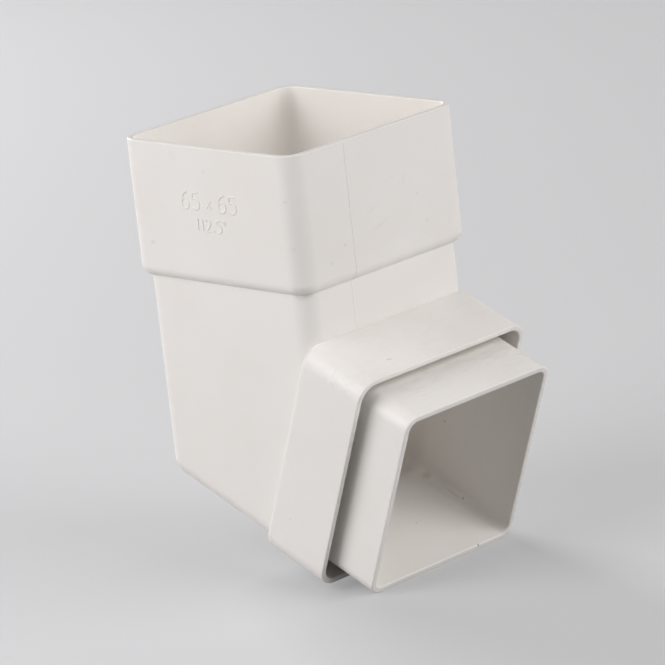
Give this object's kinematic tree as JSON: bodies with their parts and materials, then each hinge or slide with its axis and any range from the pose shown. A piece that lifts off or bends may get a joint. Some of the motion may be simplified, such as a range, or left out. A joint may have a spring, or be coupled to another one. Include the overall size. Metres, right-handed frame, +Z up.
{
  "type": "downpipe offset bend",
  "caption": "White square downpipe offset bend: a collared socket on a mitred hollow elbow, with a slanted outlet whose square spigot stands inside a shroud.",
  "frame": {"origin": "centre of the pipe stop inside the inlet socket, where the end of the upper pipe seats", "axes": "+Z up the socket towards its mouth; +X the way the outlet leans, so the outlet's axis lies in XZ, 22.5 degrees below +X; the part is alike on both sides of XZ"},
  "size_m": [0.1006, 0.07, 0.1299],
  "materials": {
    "white_pvc": "semi-gloss moulded rigid PVC, slightly warm white"
  },
  "bodies": {
    "root": {"offset_bend": "white_pvc"}
  },
  "joints": []
}
